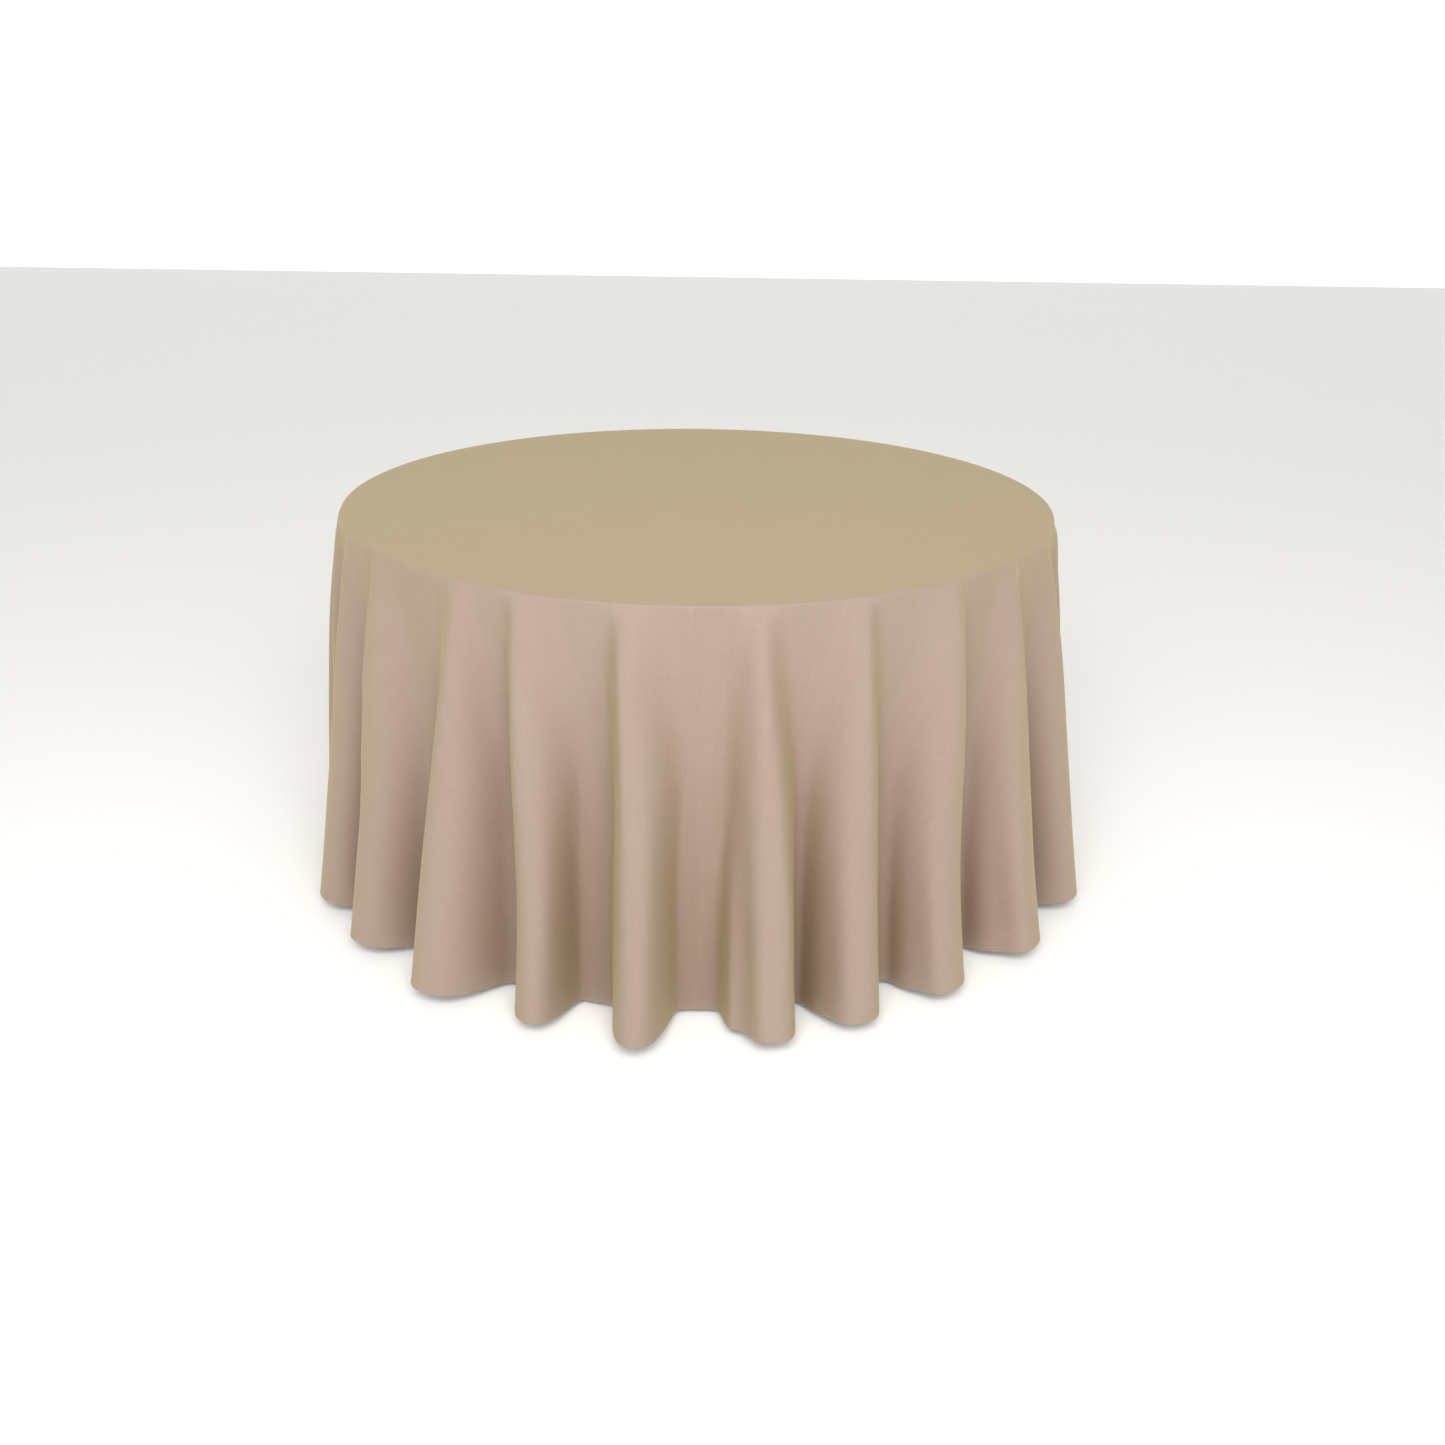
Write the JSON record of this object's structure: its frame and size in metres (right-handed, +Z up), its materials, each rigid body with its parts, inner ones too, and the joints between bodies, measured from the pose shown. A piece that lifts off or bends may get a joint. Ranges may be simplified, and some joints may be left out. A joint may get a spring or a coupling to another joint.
{
  "type": "tablecloth on a table",
  "caption": "Round full-length tablecloth draped in deep soft folds over a round folding banquet table with plywood top and steel folding leg frames.",
  "frame": {"origin": "on the floor, under the middle of the round table", "axes": "+Z up, front is -Y, the two leg frames fold along X"},
  "size_m": [1.8922, 1.8818, 0.7629],
  "materials": {
    "plywood": "satin",
    "hardwood": "satin",
    "edge_vinyl": "matte",
    "leg_steel": "satin",
    "zinc_steel": "satin",
    "foot_rubber": "matte",
    "plug_plastic": "matte",
    "taupe_polyester": "matte",
    "hem_thread": "matte"
  },
  "bodies": {
    "table": {"tabletop_panel": "plywood", "edge_moulding": "edge_vinyl", "front_runner": "hardwood", "back_runner": "hardwood", "right_front_saddle": "zinc_steel", "right_back_saddle": "zinc_steel", "left_front_saddle": "zinc_steel", "left_back_saddle": "zinc_steel", "right_brace_bracket": "zinc_steel", "left_brace_bracket": "zinc_steel", "right_bracket_pin": "zinc_steel", "left_bracket_pin": "zinc_steel", "saddle_screws": "zinc_steel", "runner_screws": "zinc_steel", "bracket_screws": "zinc_steel"},
    "right_leg_frame": {"right_front_leg": "leg_steel", "right_back_leg": "leg_steel", "right_hinge_bar": "leg_steel", "right_stretcher": "leg_steel", "right_brace_lug": "leg_steel", "right_lug_pin": "zinc_steel", "right_front_foot": "foot_rubber", "right_back_foot": "foot_rubber", "right_end_plugs": "plug_plastic"},
    "left_leg_frame": {"left_front_leg": "leg_steel", "left_back_leg": "leg_steel", "left_hinge_bar": "leg_steel", "left_stretcher": "leg_steel", "left_brace_lug": "leg_steel", "left_lug_pin": "zinc_steel", "left_front_foot": "foot_rubber", "left_back_foot": "foot_rubber", "left_end_plugs": "plug_plastic"},
    "right_upper_link": {"right_upper_brace": "zinc_steel", "right_knee_rivets": "zinc_steel"},
    "right_lower_link": {"right_lower_brace": "zinc_steel"},
    "left_upper_link": {"left_upper_brace": "zinc_steel", "left_knee_rivets": "zinc_steel"},
    "left_lower_link": {"left_lower_brace": "zinc_steel"},
    "cloth": {"tablecloth": "taupe_polyester", "hem": "taupe_polyester", "hem_stitching": "hem_thread"}
  },
  "joints": [
    {"name": "right_leg_fold", "type": "hinge", "parent": "table", "child": "right_leg_frame", "pos_m": [0.47, 0, 0.707], "axis": [0, 1, 0], "range_deg": [0, 96]},
    {"name": "right_upper_link_turn", "type": "hinge", "parent": "table", "child": "right_upper_link", "pos_m": [0.16, 0, 0.729], "axis": [0, 1, 0], "range_deg": [-34.7, 0]},
    {"name": "right_lower_link_turn", "type": "hinge", "parent": "right_leg_frame", "child": "right_lower_link", "pos_m": [0.46798, 0, 0.51574], "axis": [0, 1, 0], "range_deg": [0, 49.3]},
    {"name": "left_leg_fold", "type": "hinge", "parent": "table", "child": "left_leg_frame", "pos_m": [-0.47, 0, 0.707], "axis": [0, -1, 0], "range_deg": [0, 96]},
    {"name": "left_upper_link_turn", "type": "hinge", "parent": "table", "child": "left_upper_link", "pos_m": [-0.16, 0, 0.729], "axis": [0, -1, 0], "range_deg": [-34.7, 0]},
    {"name": "left_lower_link_turn", "type": "hinge", "parent": "left_leg_frame", "child": "left_lower_link", "pos_m": [-0.46798, 0, 0.51574], "axis": [0, -1, 0], "range_deg": [0, 49.3]},
    {"name": "cloth_lift", "type": "slide", "parent": "table", "child": "cloth", "axis": [0, 0, 1], "range_m": [0, 0.8]}
  ],
  "couplings": [
    {"joint": "right_upper_link_turn", "follows": "right_leg_fold", "ratio": -0.36146},
    {"joint": "right_lower_link_turn", "follows": "right_leg_fold", "ratio": 0.51354},
    {"joint": "left_upper_link_turn", "follows": "left_leg_fold", "ratio": -0.36146},
    {"joint": "left_lower_link_turn", "follows": "left_leg_fold", "ratio": 0.51354}
  ]
}
